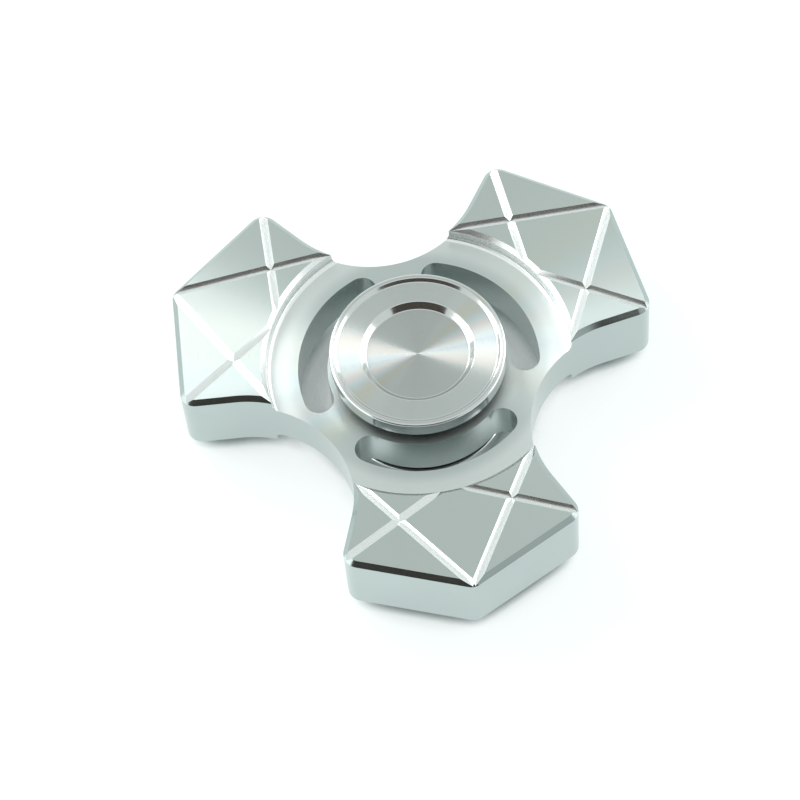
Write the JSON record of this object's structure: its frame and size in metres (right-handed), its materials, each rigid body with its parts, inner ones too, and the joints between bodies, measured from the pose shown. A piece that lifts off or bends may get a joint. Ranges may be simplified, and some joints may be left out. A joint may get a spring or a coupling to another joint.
{
  "type": "fidget spinner",
  "caption": "Metal fidget spinner with engraved five-sided arms round a slotted ring, turning on a ball bearing between two screwed finger caps.",
  "frame": {"origin": "where the spin axis crosses the middle plane of the spinning body", "axes": "+Z along the spin axis towards the top finger cap; one arm points along -Y"},
  "size_m": [0.0598, 0.058, 0.0138],
  "materials": {
    "machined_steel": "fine-milled stainless steel with bright V-grooves and chamfers",
    "turned_steel": "lathe-turned and polished stainless steel with fine rings",
    "race_steel": "ground bearing steel",
    "ball_steel": "polished bearing balls",
    "cage_steel": "pressed stainless steel, satin",
    "shield_steel": "pressed sheet steel, satin",
    "spring_steel": "dark spring steel"
  },
  "bodies": {
    "finger_caps": {"bottom_finger_cap": "turned_steel", "top_finger_cap": "turned_steel", "bearing_inner_race": "race_steel"},
    "spinner": {"spinner_body": "machined_steel", "bearing_outer_race": "race_steel", "bearing_shield_top": "shield_steel", "bearing_shield_bottom": "shield_steel", "shield_snap_ring_top": "spring_steel", "shield_snap_ring_bottom": "spring_steel"},
    "ball_cage": {"bearing_ball_cage": "cage_steel"},
    "ball_01": {"bearing_ball_01": "ball_steel"},
    "ball_02": {"bearing_ball_02": "ball_steel"},
    "ball_03": {"bearing_ball_03": "ball_steel"},
    "ball_04": {"bearing_ball_04": "ball_steel"},
    "ball_05": {"bearing_ball_05": "ball_steel"},
    "ball_06": {"bearing_ball_06": "ball_steel"},
    "ball_07": {"bearing_ball_07": "ball_steel"},
    "ball_08": {"bearing_ball_08": "ball_steel"},
    "ball_09": {"bearing_ball_09": "ball_steel"},
    "ball_10": {"bearing_ball_10": "ball_steel"}
  },
  "joints": [
    {"name": "body_spin", "type": "hinge", "parent": "finger_caps", "child": "spinner", "pos_m": [0, 0, 0], "axis": [0, 0, 1], "continuous": true},
    {"name": "cage_orbit", "type": "hinge", "parent": "finger_caps", "child": "ball_cage", "pos_m": [0, 0, 0], "axis": [0, 0, 1], "continuous": true},
    {"name": "ball_01_roll", "type": "hinge", "parent": "ball_cage", "child": "ball_01", "pos_m": [0.00476, 0, 0], "axis": [0, 0, 1], "continuous": true},
    {"name": "ball_02_roll", "type": "hinge", "parent": "ball_cage", "child": "ball_02", "pos_m": [0.00385, 0.0028, 0], "axis": [0, 0, 1], "continuous": true},
    {"name": "ball_03_roll", "type": "hinge", "parent": "ball_cage", "child": "ball_03", "pos_m": [0.00147, 0.00453, 0], "axis": [0, 0, 1], "continuous": true},
    {"name": "ball_04_roll", "type": "hinge", "parent": "ball_cage", "child": "ball_04", "pos_m": [-0.00147, 0.00453, 0], "axis": [0, 0, 1], "continuous": true},
    {"name": "ball_05_roll", "type": "hinge", "parent": "ball_cage", "child": "ball_05", "pos_m": [-0.00385, 0.0028, 0], "axis": [0, 0, 1], "continuous": true},
    {"name": "ball_06_roll", "type": "hinge", "parent": "ball_cage", "child": "ball_06", "pos_m": [-0.00476, 0, 0], "axis": [0, 0, 1], "continuous": true},
    {"name": "ball_07_roll", "type": "hinge", "parent": "ball_cage", "child": "ball_07", "pos_m": [-0.00385, -0.0028, 0], "axis": [0, 0, 1], "continuous": true},
    {"name": "ball_08_roll", "type": "hinge", "parent": "ball_cage", "child": "ball_08", "pos_m": [-0.00147, -0.00453, 0], "axis": [0, 0, 1], "continuous": true},
    {"name": "ball_09_roll", "type": "hinge", "parent": "ball_cage", "child": "ball_09", "pos_m": [0.00147, -0.00453, 0], "axis": [0, 0, 1], "continuous": true},
    {"name": "ball_10_roll", "type": "hinge", "parent": "ball_cage", "child": "ball_10", "pos_m": [0.00385, -0.0028, 0], "axis": [0, 0, 1], "continuous": true}
  ],
  "couplings": [
    {"joint": "cage_orbit", "follows": "body_spin", "ratio": 0.58333},
    {"joint": "ball_01_roll", "follows": "body_spin", "ratio": 2.9167},
    {"joint": "ball_02_roll", "follows": "body_spin", "ratio": 2.9167},
    {"joint": "ball_03_roll", "follows": "body_spin", "ratio": 2.9167},
    {"joint": "ball_04_roll", "follows": "body_spin", "ratio": 2.9167},
    {"joint": "ball_05_roll", "follows": "body_spin", "ratio": 2.9167},
    {"joint": "ball_06_roll", "follows": "body_spin", "ratio": 2.9167},
    {"joint": "ball_07_roll", "follows": "body_spin", "ratio": 2.9167},
    {"joint": "ball_08_roll", "follows": "body_spin", "ratio": 2.9167},
    {"joint": "ball_09_roll", "follows": "body_spin", "ratio": 2.9167},
    {"joint": "ball_10_roll", "follows": "body_spin", "ratio": 2.9167}
  ]
}
